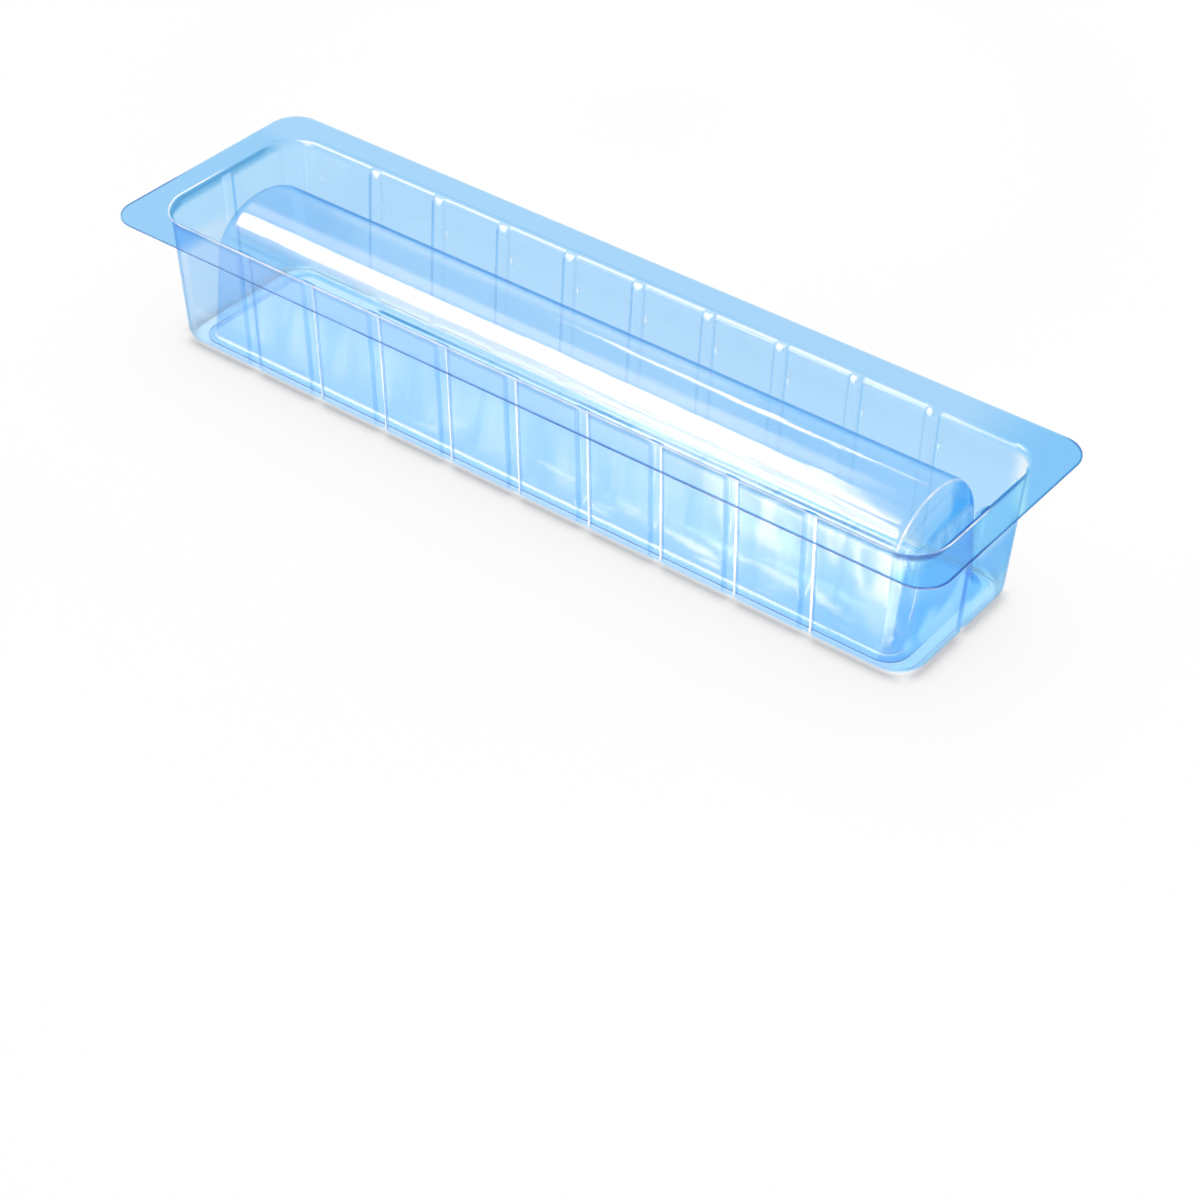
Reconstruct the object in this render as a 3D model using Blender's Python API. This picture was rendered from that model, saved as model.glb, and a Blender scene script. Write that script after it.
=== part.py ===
"""Yule log mould in clear, pale blue plastic.

Two thin formed pieces. A long ribbed tray with a flat flange round its top stands on its floor.
In the tray stands the log mould, an arched gutter with rounded ends and a narrow foot lip,
its mouth down and its crown just under the tray's rim. The log mould lifts straight out.

Metres, +Z up. The origin is on the tray's underside, in the middle. X runs along the log.
"""
import math

import bmesh
import bpy
from mathutils import Vector

# The sheet that both pieces are formed from, and the gap kept where one rests on the other
SHEET = 0.0008
REST_GAP = 0.0003

# The log mould, measured outside, standing mouth down
LOG_LENGTH = 0.500
LOG_WIDTH = 0.088
LOG_HEIGHT = 0.0855
LOG_ARCH_RISE = 0.030
LOG_SIDE_DRAFT = math.radians(6.0)
LOG_END_DRAFT = math.radians(2.0)
LOG_END_RADIUS = 0.009
LOG_FOOT_RADIUS = 0.002
LOG_LIP = 0.0025

# The room that the tray leaves round the log mould's lip and over its crown
LIP_SIDE_CLEARANCE = 0.0005
LIP_END_CLEARANCE = 0.006
CROWN_CLEARANCE = 0.0024

# The tray, measured outside
TRAY_DRAFT = math.radians(2.6)
TRAY_CORNER_RADIUS = 0.020
TRAY_FOOT_RADIUS = 0.007
TRAY_RIM_RADIUS = 0.0035
FLANGE_SIDE = 0.022
FLANGE_END = 0.0185
FLANGE_CORNER_RADIUS = 0.018

# The upright ribs pressed into the tray's walls
RIB_PITCH = 0.0503
RIB_WIDTH = 0.0088
RIB_DEPTH = 0.0026
RIB_SLOPE = 0.0017
RIB_CORNER_MARGIN = 0.010
# Where a rib's flank eases in and out: share of the slope's width, and share of the depth there
RIB_EASE_WIDTH = 0.25
RIB_EASE_DEPTH = 0.12

# Facets
CORNER_STEPS = 8
FOOT_STEPS = 4
RIM_STEPS = 4
ARCH_STEPS = 36
END_STEPS = 7
LIP_STEPS = 3

PALE_BLUE = (0.35, 0.66, 0.95, 1.0)
LOG_BLUE = (0.30, 0.62, 0.94, 1.0)
SMOOTH_ANGLE = math.radians(32.0)


def lip_half(half_size):
    """Half the size over the log mould's lip, from half the size of its body at the foot."""
    return half_size + LOG_FOOT_RADIUS + LOG_LIP


def fillet_reach(radius, draft):
    """How far a foot fillet reaches in from the corner where the wall would meet the floor."""
    return radius * (1.0 - math.sin(draft)) / math.cos(draft)


TRAY_HEIGHT = SHEET + REST_GAP + LOG_HEIGHT + CROWN_CLEARANCE
TRAY_REACH = fillet_reach(TRAY_FOOT_RADIUS, TRAY_DRAFT)
TRAY_HALF_LENGTH = lip_half(LOG_LENGTH / 2) + LIP_END_CLEARANCE + TRAY_REACH
TRAY_HALF_WIDTH = lip_half(LOG_WIDTH / 2) + LIP_SIDE_CLEARANCE + TRAY_REACH
RIM_OUT = TRAY_HEIGHT * math.tan(TRAY_DRAFT)
FLANGE_HALF_LENGTH = TRAY_HALF_LENGTH + RIM_OUT + FLANGE_END
FLANGE_HALF_WIDTH = TRAY_HALF_WIDTH + RIM_OUT + FLANGE_SIDE


def clear_scene():
    for item in list(bpy.data.objects):
        bpy.data.objects.remove(item, do_unlink=True)


def clear_plastic(name, colour):
    """A thin, clear, glossy plastic."""
    material = bpy.data.materials.new(name)
    material.use_nodes = True
    shader = material.node_tree.nodes["Principled BSDF"]
    shader.inputs["Base Color"].default_value = colour
    shader.inputs["Roughness"].default_value = 0.06
    shader.inputs["Metallic"].default_value = 0.0
    shader.inputs["Alpha"].default_value = 0.35
    material.diffuse_color = colour
    return material


def add_sheet(name, mesh_edit, colour):
    """Turns a one-sided surface, its faces outward, into a formed sheet with a real thickness."""
    mesh = bpy.data.meshes.new(name)
    mesh_edit.to_mesh(mesh)
    mesh_edit.free()
    mesh.shade_smooth()
    mesh.set_sharp_from_angle(angle=SMOOTH_ANGLE)
    sheet = bpy.data.objects.new(name, mesh)
    bpy.context.scene.collection.objects.link(sheet)
    mesh.materials.append(clear_plastic(name + "_plastic", colour))
    thickness = sheet.modifiers.new("sheet", "SOLIDIFY")
    thickness.thickness = SHEET
    thickness.offset = -1.0
    thickness.use_even_offset = True
    thickness.use_rim = True
    return sheet


def bridge(mesh_edit, lower, upper):
    """Joins two closed rings of equal count with quads."""
    count = len(lower)
    for index in range(count):
        after = (index + 1) % count
        mesh_edit.faces.new((lower[index], lower[after], upper[after], upper[index]))


def rib_centres(half_straight):
    """Where the ribs stand along a wall: one in the middle, and as many each way as fit."""
    room = half_straight - RIB_WIDTH / 2 - RIB_CORNER_MARGIN
    each_way = max(0, int(room / RIB_PITCH))
    return [RIB_PITCH * index for index in range(-each_way, each_way + 1)]


def rib_profile():
    """A rib across the wall: the place along it and the share of the full depth."""
    half = RIB_WIDTH / 2
    inner = half - RIB_SLOPE
    soft = RIB_SLOPE * RIB_EASE_WIDTH
    ease = RIB_EASE_DEPTH
    rising = [(-half, 0.0), (-half + soft, ease), (-inner - soft, 1.0 - ease), (-inner, 1.0)]
    falling = [(-place, share) for place, share in reversed(rising)]
    return rising + falling


def wall_outline(half_straight, centres, rib_depth):
    """One wall seen from above, from end to end: places along it and how far each is pressed in."""
    points = [(-half_straight, 0.0)]
    for centre in centres:
        points += [(centre + place, share * rib_depth) for place, share in rib_profile()]
    points.append((half_straight, 0.0))
    return points


def tray_ring(half_length, half_width, corner_radius, rib_depth):
    """The tray's outline at one level, anticlockwise from above, starting on the front wall."""
    # the ribs stand at the same places at every level, so they are spaced on the tray's foot
    side_ribs = rib_centres(TRAY_HALF_LENGTH - TRAY_CORNER_RADIUS)
    end_ribs = [0.0]
    straight_x = half_length - corner_radius
    straight_y = half_width - corner_radius
    walls = (
        (Vector((1, 0)), Vector((0, -1)), half_width, straight_x, side_ribs),
        (Vector((0, 1)), Vector((1, 0)), half_length, straight_y, end_ribs),
        (Vector((-1, 0)), Vector((0, 1)), half_width, straight_x, side_ribs),
        (Vector((0, -1)), Vector((-1, 0)), half_length, straight_y, end_ribs),
    )
    points = []
    for along, out, distance, straight, centres in walls:
        for place, depth in wall_outline(straight, centres, rib_depth):
            points.append(along * place + out * (distance - depth))
        centre = along * straight + out * (distance - corner_radius)
        for step in range(1, CORNER_STEPS):
            turn = math.pi / 2 * step / CORNER_STEPS
            points.append(centre + corner_radius * (out * math.cos(turn) + along * math.sin(turn)))
    return points


def tray_levels():
    """The tray's wall from floor to flange: outward from the foot line, height, share of rib depth."""
    levels = []
    slope = TRAY_DRAFT
    radius = TRAY_FOOT_RADIUS
    wall_start = radius * (1.0 - math.sin(slope))
    for step in range(FOOT_STEPS + 1):
        turn = math.pi / 2 - (math.pi / 2 - slope) * step / FOOT_STEPS
        out = -TRAY_REACH + radius * math.cos(turn)
        height = radius * (1.0 - math.sin(turn))
        # the ribs run out in both fillets, so that the floor and the flange keep straight outlines
        levels.append((out, height, height / wall_start))
    underside = TRAY_HEIGHT - SHEET
    radius = TRAY_RIM_RADIUS
    centre_height = underside - radius
    centre_out = (radius + centre_height * math.sin(slope)) / math.cos(slope)
    wall_end = centre_height + radius * math.sin(slope)
    for step in range(RIM_STEPS + 1):
        turn = slope + (math.pi / 2 - slope) * step / RIM_STEPS
        out = centre_out - radius * math.cos(turn)
        height = centre_height + radius * math.sin(turn)
        levels.append((out, height, (underside - height) / (underside - wall_end)))
    return levels


def build_tray():
    """The ribbed tray: floor, foot fillet, drafted walls with pressed ribs, rim fillet and flange."""
    mesh_edit = bmesh.new()
    rings = []
    for out, height, rib_share in tray_levels():
        outline = tray_ring(
            TRAY_HALF_LENGTH + out,
            TRAY_HALF_WIDTH + out,
            TRAY_CORNER_RADIUS + min(out, 0.0),
            RIB_DEPTH * rib_share,
        )
        rings.append([mesh_edit.verts.new((x, y, height)) for x, y in outline])
    edge = tray_ring(FLANGE_HALF_LENGTH, FLANGE_HALF_WIDTH, FLANGE_CORNER_RADIUS, 0.0)
    underside = TRAY_HEIGHT - SHEET
    rings.append([mesh_edit.verts.new((x, y, underside)) for x, y in edge])
    mesh_edit.faces.new(list(reversed(rings[0])))
    for lower, upper in zip(rings, rings[1:]):
        bridge(mesh_edit, lower, upper)
    return add_sheet("outer_tray", mesh_edit, PALE_BLUE)


def log_section(inset):
    """The log mould cut across, set in by inset: half widths and heights from foot to crown."""
    slope = LOG_SIDE_DRAFT
    rise = LOG_ARCH_RISE - inset
    centre = LOG_HEIGHT - LOG_ARCH_RISE
    foot = LOG_WIDTH / 2 - inset / math.cos(slope)
    # half the arch's width, so that its ellipse touches the drafted side
    reach = foot * math.cos(slope) - centre * math.sin(slope)
    half = math.sqrt(reach ** 2 - (rise * math.sin(slope)) ** 2) / math.cos(slope)
    start = math.atan2(rise * math.sin(slope), half * math.cos(slope))
    points = [(foot - wall_foot() * math.tan(slope), wall_foot())]
    for step in range(ARCH_STEPS // 2 + 1):
        turn = start + (math.pi / 2 - start) * step / (ARCH_STEPS // 2)
        points.append((half * math.cos(turn), centre + rise * math.sin(turn)))
    return points


def wall_foot():
    """The height where the log mould's wall turns out into its foot fillet."""
    return SHEET + LOG_FOOT_RADIUS * (1.0 - math.sin(LOG_SIDE_DRAFT))


def end_station(turn, height):
    """Half the log mould's length at one step round its end fillet, at one height."""
    length = LOG_LENGTH / 2 - height * math.tan(LOG_END_DRAFT)
    return length - LOG_END_RADIUS * (1.0 - math.sin(turn))


def log_stations():
    """The steps round the end fillets, from the left end to the right: side of the log and turn."""
    turns = [math.pi / 2 * step / END_STEPS for step in range(END_STEPS + 1)]
    return [(-1, turn) for turn in reversed(turns)] + [(1, turn) for turn in turns]


def build_log_mould():
    """The arched gutter with filleted ends, drafted sides and a narrow lip round its mouth."""
    mesh_edit = bmesh.new()
    arcs = []
    front = []
    back = []
    for side, turn in log_stations():
        half_section = log_section(LOG_END_RADIUS * (1.0 - math.cos(turn)))
        front_half = [(-half, height) for half, height in half_section]
        section = front_half + list(reversed(half_section[:-1]))
        arc = []
        for across, height in section:
            arc.append(mesh_edit.verts.new((side * end_station(turn, height), across, height)))
        arcs.append(arc)
        outward = Vector((side * math.sin(turn), math.cos(turn)))
        front.append((arc[0], Vector((outward.x, -outward.y))))
        back.append((arc[-1], outward))
    for left, right in zip(arcs, arcs[1:]):
        for index in range(len(left) - 1):
            mesh_edit.faces.new((left[index], right[index], right[index + 1], left[index + 1]))
    mesh_edit.faces.new(arcs[0])
    mesh_edit.faces.new(list(reversed(arcs[-1])))
    add_lip(mesh_edit, front + list(reversed(back)))
    stand = SHEET + REST_GAP
    bmesh.ops.translate(mesh_edit, verts=mesh_edit.verts, vec=(0.0, 0.0, stand))
    return add_sheet("log_mould", mesh_edit, LOG_BLUE)


def add_lip(mesh_edit, foot):
    """Turns the foot of the wall out through a small fillet into a flat lip."""
    ring = [vert for vert, outward in foot]
    slope = LOG_SIDE_DRAFT
    places = []
    for step in range(1, LIP_STEPS + 1):
        turn = slope + (math.pi / 2 - slope) * step / LIP_STEPS
        out = LOG_FOOT_RADIUS * (math.cos(slope) - math.cos(turn))
        places.append((out, SHEET + LOG_FOOT_RADIUS * (1.0 - math.sin(turn))))
    flat = LOG_FOOT_RADIUS + LOG_LIP + wall_foot() * math.tan(slope)
    places.append((flat, SHEET))
    for out, height in places:
        outer = []
        for vert, outward in foot:
            place = vert.co.xy + outward * out
            outer.append(mesh_edit.verts.new((place.x, place.y, height)))
        bridge(mesh_edit, outer, ring)
        ring = outer


clear_scene()
build_tray()
build_log_mould()
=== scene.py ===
"""Looks for the yule log mould: clear, pale blue formed plastic standing on a white table.

The two CAD pieces are shown by finer shells of the same shape, so that their gloss runs smoothly:
the ribbed tray with its flange, and the log mould that stands in it, mouth down.
Metres, +Z up, X along the log.
"""
from collections import namedtuple
import math

import bmesh
import bpy
from mathutils import Matrix, Vector


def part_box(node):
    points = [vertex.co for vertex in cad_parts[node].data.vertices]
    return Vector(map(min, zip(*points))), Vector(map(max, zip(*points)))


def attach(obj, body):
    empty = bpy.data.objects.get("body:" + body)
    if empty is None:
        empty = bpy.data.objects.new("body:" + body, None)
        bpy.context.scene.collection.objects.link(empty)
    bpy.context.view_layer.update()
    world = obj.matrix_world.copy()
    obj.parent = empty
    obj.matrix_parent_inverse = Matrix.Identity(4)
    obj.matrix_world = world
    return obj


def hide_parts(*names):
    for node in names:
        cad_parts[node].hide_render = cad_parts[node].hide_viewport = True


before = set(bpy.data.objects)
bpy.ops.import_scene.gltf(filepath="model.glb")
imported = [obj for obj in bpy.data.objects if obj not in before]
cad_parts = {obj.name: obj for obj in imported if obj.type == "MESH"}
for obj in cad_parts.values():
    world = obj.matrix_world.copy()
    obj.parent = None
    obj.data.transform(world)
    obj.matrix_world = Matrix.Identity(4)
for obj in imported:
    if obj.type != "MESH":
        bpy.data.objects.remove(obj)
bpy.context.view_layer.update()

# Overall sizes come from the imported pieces
tray_low, tray_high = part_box("outer_tray")
log_low, log_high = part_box("log_mould")
SHEET = 0.0008

# The tray
FLANGE_HALF_LENGTH = tray_high.x
FLANGE_HALF_WIDTH = tray_high.y
TRAY_HEIGHT = tray_high.z
FLANGE_SIDE = 0.022
FLANGE_END = 0.0185
FLANGE_CORNER_RADIUS = 0.018
TRAY_DRAFT = math.radians(2.6)
TRAY_CORNER_RADIUS = 0.020
TRAY_FOOT_RADIUS = 0.007
TRAY_RIM_RADIUS = 0.0035
RIB_PITCH = 0.0503
RIB_WIDTH = 0.0088
RIB_DEPTH = 0.0026
RIB_SLOPE = 0.0017
RIB_CORNER_MARGIN = 0.010
RIM_OUT = TRAY_HEIGHT * math.tan(TRAY_DRAFT)
TRAY_HALF_LENGTH = FLANGE_HALF_LENGTH - FLANGE_END - RIM_OUT
TRAY_HALF_WIDTH = FLANGE_HALF_WIDTH - FLANGE_SIDE - RIM_OUT
TRAY_REACH = TRAY_FOOT_RADIUS * (1.0 - math.sin(TRAY_DRAFT)) / math.cos(TRAY_DRAFT)
# How far out of the foot line the flange's flat begins
RIM_FLAT = RIM_OUT + TRAY_RIM_RADIUS

# The log mould
LOG_STAND = log_low.z
LOG_HEIGHT = log_high.z - log_low.z
LOG_FOOT_RADIUS = 0.002
LOG_LIP = 0.0025
LOG_HALF_LENGTH = log_high.x - LOG_FOOT_RADIUS - LOG_LIP
LOG_HALF_WIDTH = log_high.y - LOG_FOOT_RADIUS - LOG_LIP
LOG_ARCH_RISE = 0.030
LOG_SIDE_DRAFT = math.radians(6.0)
LOG_END_DRAFT = math.radians(2.0)
LOG_END_RADIUS = 0.009

# The sheet keeps its full thickness in the flange, and is drawn thinner from this far below it
DRAWN_BELOW = 0.006

# Facets, and the distance from a bend at which a flat stretch gets a row of points to stay flat
CORNER_STEPS = 20
FOOT_STEPS = 8
RIM_STEPS = 6
FLANK_STEPS = 6
ARCH_STEPS = 96
END_STEPS = 14
LIP_STEPS = 6
GUARD = 0.002
SMOOTH_ANGLE = math.radians(40.0)

# The photograph's view: the camera looks at a point on the table in front of the mould
CAMERA_AIM = Vector((0.0950, -0.0990, 0.0))
CAMERA_AZIMUTH = math.radians(36.71)
CAMERA_ELEVATION = math.radians(38.84)
CAMERA_ROLL = math.radians(1.28)
CAMERA_DISTANCE = 1.583
CAMERA_LENS = 86.5

# Tints: what one sheet lets through where it is seen face on, and where it is seen along. Those marked
# below as painted stand for light and reflections, not for the sheet's own colour
# The flange's tint changes by place, partly as painted light and partly to even out overlapping sheets:
# paler in the front, deeper towards the right end
FLANGE_LEFT = (0.29, 0.62, 0.95, 1.0)
FLANGE_BACK = (0.36, 0.66, 0.96, 1.0)
FLANGE_RIGHT = (0.19, 0.55, 0.94, 1.0)
FLANGE_NEAR_END = (0.36, 0.76, 0.97, 1.0)
FLANGE_FRONT = (0.82, 0.91, 1.0, 1.0)
FLANGE_CLEAR = (0.90, 0.95, 0.99, 1.0)
FRONT_WALL = (0.64, 0.82, 0.975, 1.0)
# Painted reflection: pale patches high on the front wall
FRONT_PAINTED_REFLECTION = (0.86, 0.93, 0.99, 1.0)
FRONT_DEEP = (0.50, 0.75, 0.96, 1.0)
BACK_WALL = (0.46, 0.72, 0.975, 1.0)
LOG_BLUE = (0.69, 0.87, 0.985, 1.0)
LOG_SIDE = (0.57, 0.81, 0.97, 1.0)
# Painted light and reflections on the log mould: pale panels low down, its front shoulder and its back
LOG_PAINTED_LIGHT = (0.90, 0.95, 0.99, 1.0)
LOG_END = (0.18, 0.58, 0.93, 1.0)
DEEP_BLUE = (0.03, 0.36, 0.80, 1.0)
LEFT_END_HIGH = (0.46, 0.74, 0.98, 1.0)
# Painted light: the near-white upper part of the right end wall
END_HIGH = (0.90, 0.96, 0.99, 1.0)
END_LOW = (0.50, 0.79, 0.97, 1.0)
END_DEEP = (0.28, 0.67, 0.96, 1.0)
FLOOR_BLUE = (0.66, 0.84, 0.97, 1.0)
RIB_BLUE = (0.16, 0.50, 0.88, 1.0)
LINE_BLUE = (0.0, 0.16, 0.48, 1.0)
EDGE_BLUE = (0.10, 0.40, 0.76, 1.0)
EDGE_PALE = (0.78, 0.90, 0.98, 1.0)
# What one surface lets through of the light that falls on the table
PASSING = (0.97, 0.97, 0.97, 1.0)
PASSING_FOOT = (0.50, 0.52, 0.55, 1.0)
# How much one surface mirrors where it is seen face on, and how much more where it is seen along
GLOSS = 0.055
GRAZING_GLOSS = 0.35

# Light: the room, the key light over the mould, the lamps that only gloss shows, the table's white
WORLD_LIGHT = 0.30
KEY_PLACE = Vector((-0.20, 0.35, 1.30))
KEY_SIZE = 1.5
KEY_RADIANCE = 2.85
# Warm, so that a highlight on the blue plastic comes out white
GLOSS_LIGHT = (1.0, 0.64, 0.34)
TABLE_WHITE = 0.75
TABLE_SEEN = 1.0
UNDER_GLOW = 0.29
MIRRORED_GLOW = 3.0
# The glow of the whole mirrored table, apart from its brighter patches
MIRRORED_HAZE = 0.16
# How far along the front wall the mirrored place moves for each metre up it, in the main view
MIRROR_SHIFT = 0.745
GLOSS_LAMP_HEIGHT = 1.20
PATCHY_RADIANCE = 8.0
TABLE_RADIUS = 6.0
TABLE_GAP = 0.0002

# From where to where the sheet turns deep blue as it is seen more nearly along
DEEP_FROM = 0.76
DEEP_FULL = 0.90
RIPPLE_DEPTH = 0.0012

GlossLamp = namedtuple("GlossLamp", "holder nodes links place along across")


def ease(share):
    """A smooth step from 0 to 1."""
    return share * share * (3.0 - 2.0 * share)


def bridge(mesh_edit, lower, upper):
    """Joins two closed rings of equal count with quads."""
    count = len(lower)
    for index in range(count):
        after = (index + 1) % count
        mesh_edit.faces.new((lower[index], lower[after], upper[after], upper[index]))


def rib_centres(half_straight):
    """Where the ribs stand along a wall: one in the middle, and as many each way as fit."""
    room = half_straight - RIB_WIDTH / 2 - RIB_CORNER_MARGIN
    each_way = max(0, int(room / RIB_PITCH))
    return [RIB_PITCH * index for index in range(-each_way, each_way + 1)]


def rib_profile():
    """A rib across the wall, with softly rounded flanks: the place along it and share of its depth."""
    half = RIB_WIDTH / 2
    rising = [(-half - GUARD, 0.0)]
    for step in range(FLANK_STEPS + 1):
        share = step / FLANK_STEPS
        rising.append((-half + RIB_SLOPE * share, ease(share)))
    falling = [(-place, depth) for place, depth in reversed(rising)]
    return rising + [(0.0, 1.0)] + falling


def wall_outline(half_straight, centres, rib_depth):
    """One wall seen from above, from end to end: places along it and how far each is pressed in."""
    points = [(-half_straight, 0.0), (-half_straight + GUARD, 0.0)]
    for centre in centres:
        points += [(centre + place, share * rib_depth) for place, share in rib_profile()]
    points += [(half_straight - GUARD, 0.0), (half_straight, 0.0)]
    return points


def tray_ring(half_length, half_width, corner_radius, rib_depth):
    """The tray's outline at one level, anticlockwise from above, starting on the front wall."""
    side_ribs = rib_centres(TRAY_HALF_LENGTH - TRAY_CORNER_RADIUS)
    end_ribs = [0.0]
    straight_x = half_length - corner_radius
    straight_y = half_width - corner_radius
    walls = (
        (Vector((1, 0)), Vector((0, -1)), half_width, straight_x, side_ribs),
        (Vector((0, 1)), Vector((1, 0)), half_length, straight_y, end_ribs),
        (Vector((-1, 0)), Vector((0, 1)), half_width, straight_x, side_ribs),
        (Vector((0, -1)), Vector((-1, 0)), half_length, straight_y, end_ribs),
    )
    points = []
    for along, out, distance, straight, centres in walls:
        for place, depth in wall_outline(straight, centres, rib_depth):
            points.append(along * place + out * (distance - depth))
        centre = along * straight + out * (distance - corner_radius)
        for step in range(1, CORNER_STEPS):
            turn = math.pi / 2 * step / CORNER_STEPS
            points.append(centre + corner_radius * (out * math.cos(turn) + along * math.sin(turn)))
    return points


def tray_levels():
    """The tray's wall from floor to flange: outward from the foot line, height, share of rib depth."""
    slope = TRAY_DRAFT
    radius = TRAY_FOOT_RADIUS
    wall_start = radius * (1.0 - math.sin(slope))
    levels = [(-TRAY_REACH - GUARD, 0.0, 0.0)]
    for step in range(FOOT_STEPS + 1):
        turn = math.pi / 2 - (math.pi / 2 - slope) * step / FOOT_STEPS
        out = -TRAY_REACH + radius * math.cos(turn)
        height = radius * (1.0 - math.sin(turn))
        levels.append((out, height, height / wall_start))
    underside = TRAY_HEIGHT - SHEET
    radius = TRAY_RIM_RADIUS
    centre_height = underside - radius
    centre_out = (radius + centre_height * math.sin(slope)) / math.cos(slope)
    wall_end = centre_height + radius * math.sin(slope)
    for height in (wall_start + GUARD, wall_end - GUARD):
        levels.append((height * math.tan(slope), height, 1.0))
    for step in range(RIM_STEPS + 1):
        turn = slope + (math.pi / 2 - slope) * step / RIM_STEPS
        out = centre_out - radius * math.cos(turn)
        height = centre_height + radius * math.sin(turn)
        levels.append((out, height, (underside - height) / (underside - wall_end)))
    levels.append((centre_out + GUARD, underside, 0.0))
    return levels


def add_shell(name, mesh_edit, node, body, face_material, edge_material):
    """Turns a one-sided surface into a formed sheet that stands for a CAD piece."""
    surface = bpy.data.meshes.new(name)
    mesh_edit.to_mesh(surface)
    mesh_edit.free()
    surface.shade_smooth()
    surface.materials.append(face_material)
    surface.materials.append(edge_material)
    shell = bpy.data.objects.new(name, surface)
    bpy.context.scene.collection.objects.link(shell)
    thickness = shell.modifiers.new("sheet", "SOLIDIFY")
    thickness.thickness = SHEET
    thickness.offset = -1.0
    thickness.use_even_offset = True
    thickness.use_rim = True
    thickness.material_offset_rim = 1
    # the thickness is made final here, so that the cut edge can be kept sharp
    final = bpy.data.meshes.new_from_object(shell.evaluated_get(bpy.context.evaluated_depsgraph_get()))
    final.set_sharp_from_angle(angle=SMOOTH_ANGLE)
    shell.modifiers.clear()
    shell.data = final
    bpy.data.meshes.remove(surface)
    final.name = name
    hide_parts(node)
    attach(shell, body)
    return shell


def build_tray(face_material, edge_material):
    """The ribbed tray: floor, foot fillet, drafted walls with pressed ribs, rim fillet and flange."""
    mesh_edit = bmesh.new()
    rings = []
    for out, height, rib_share in tray_levels():
        outline = tray_ring(
            TRAY_HALF_LENGTH + out,
            TRAY_HALF_WIDTH + out,
            TRAY_CORNER_RADIUS + min(out, 0.0),
            RIB_DEPTH * rib_share,
        )
        rings.append([mesh_edit.verts.new((x, y, height)) for x, y in outline])
    edge = tray_ring(FLANGE_HALF_LENGTH, FLANGE_HALF_WIDTH, FLANGE_CORNER_RADIUS, 0.0)
    underside = TRAY_HEIGHT - SHEET
    rings.append([mesh_edit.verts.new((x, y, underside)) for x, y in edge])
    mesh_edit.faces.new(list(reversed(rings[0])))
    for lower, upper in zip(rings, rings[1:]):
        bridge(mesh_edit, lower, upper)
    add_shell("tray_shell", mesh_edit, "outer_tray", "tray", face_material, edge_material)


def wall_foot():
    """The height where the log mould's wall turns out into its foot fillet."""
    return SHEET + LOG_FOOT_RADIUS * (1.0 - math.sin(LOG_SIDE_DRAFT))


def log_section(inset):
    """The log mould cut across, set in by inset: half widths and heights from foot to crown."""
    slope = LOG_SIDE_DRAFT
    rise = LOG_ARCH_RISE - inset
    centre = LOG_HEIGHT - LOG_ARCH_RISE
    foot = LOG_HALF_WIDTH - inset / math.cos(slope)
    # half the arch's width, so that its ellipse touches the drafted side
    reach = foot * math.cos(slope) - centre * math.sin(slope)
    half = math.sqrt(reach ** 2 - (rise * math.sin(slope)) ** 2) / math.cos(slope)
    start = math.atan2(rise * math.sin(slope), half * math.cos(slope))
    points = []
    for height in (wall_foot(), wall_foot() + GUARD):
        points.append((foot - height * math.tan(slope), height))
    for step in range(ARCH_STEPS // 2 + 1):
        turn = start + (math.pi / 2 - start) * step / (ARCH_STEPS // 2)
        points.append((half * math.cos(turn), centre + rise * math.sin(turn)))
    return points


def log_stations():
    """The steps round the end fillets, from left to right: side, turn and distance in from the fillet."""
    fillet = [(math.pi / 2 * step / END_STEPS, 0.0) for step in range(END_STEPS + 1)]
    right = [(0.0, GUARD)] + fillet
    left = list(reversed(right))
    return [(-1, turn, inward) for turn, inward in left] + [(1, turn, inward) for turn, inward in right]


def log_point(side, turn, inward, across, height):
    """A point of the log mould at one station, before it is stood on the tray's floor."""
    length = LOG_HALF_LENGTH - height * math.tan(LOG_END_DRAFT)
    along = length - LOG_END_RADIUS * (1.0 - math.sin(turn)) - inward
    return Vector((side * along, across, height))


def close_end(mesh_edit, arc):
    """Closes an end of the log mould with a flat face that has a border of its own."""
    middle = Vector((0.0, 0.0, LOG_HEIGHT / 2))
    share = 1.0 - GUARD / LOG_HALF_WIDTH
    middle.x = (arc[0].co.x + arc[len(arc) // 2].co.x) / 2
    slope = (arc[len(arc) // 2].co.x - arc[0].co.x) / (arc[len(arc) // 2].co.z - arc[0].co.z)
    border = []
    for vert in arc:
        place = middle + (vert.co - middle) * share
        place.x = arc[0].co.x + (place.z - arc[0].co.z) * slope
        border.append(mesh_edit.verts.new(place))
    bridge(mesh_edit, arc, border)
    mesh_edit.faces.new(border)


def build_log_mould(face_material, edge_material):
    """The arched gutter with filleted ends, drafted sides and a narrow lip round its mouth."""
    mesh_edit = bmesh.new()
    arcs = []
    front = []
    back = []
    for side, turn, inward in log_stations():
        half_section = log_section(LOG_END_RADIUS * (1.0 - math.cos(turn)))
        front_half = [(-half, height) for half, height in half_section]
        section = front_half + list(reversed(half_section[:-1]))
        arc = []
        for across, height in section:
            arc.append(mesh_edit.verts.new(log_point(side, turn, inward, across, height)))
        arcs.append(arc)
        outward = Vector((side * math.sin(turn), math.cos(turn)))
        front.append((arc[0], Vector((outward.x, -outward.y))))
        back.append((arc[-1], outward))
    for left, right in zip(arcs, arcs[1:]):
        for index in range(len(left) - 1):
            mesh_edit.faces.new((left[index], right[index], right[index + 1], left[index + 1]))
    close_end(mesh_edit, arcs[0])
    close_end(mesh_edit, list(reversed(arcs[-1])))
    add_lip(mesh_edit, front + list(reversed(back)))
    bmesh.ops.translate(mesh_edit, verts=mesh_edit.verts, vec=(0.0, 0.0, LOG_STAND))
    return add_shell(
        "log_shell", mesh_edit, "log_mould", "mould", face_material, edge_material)


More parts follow.
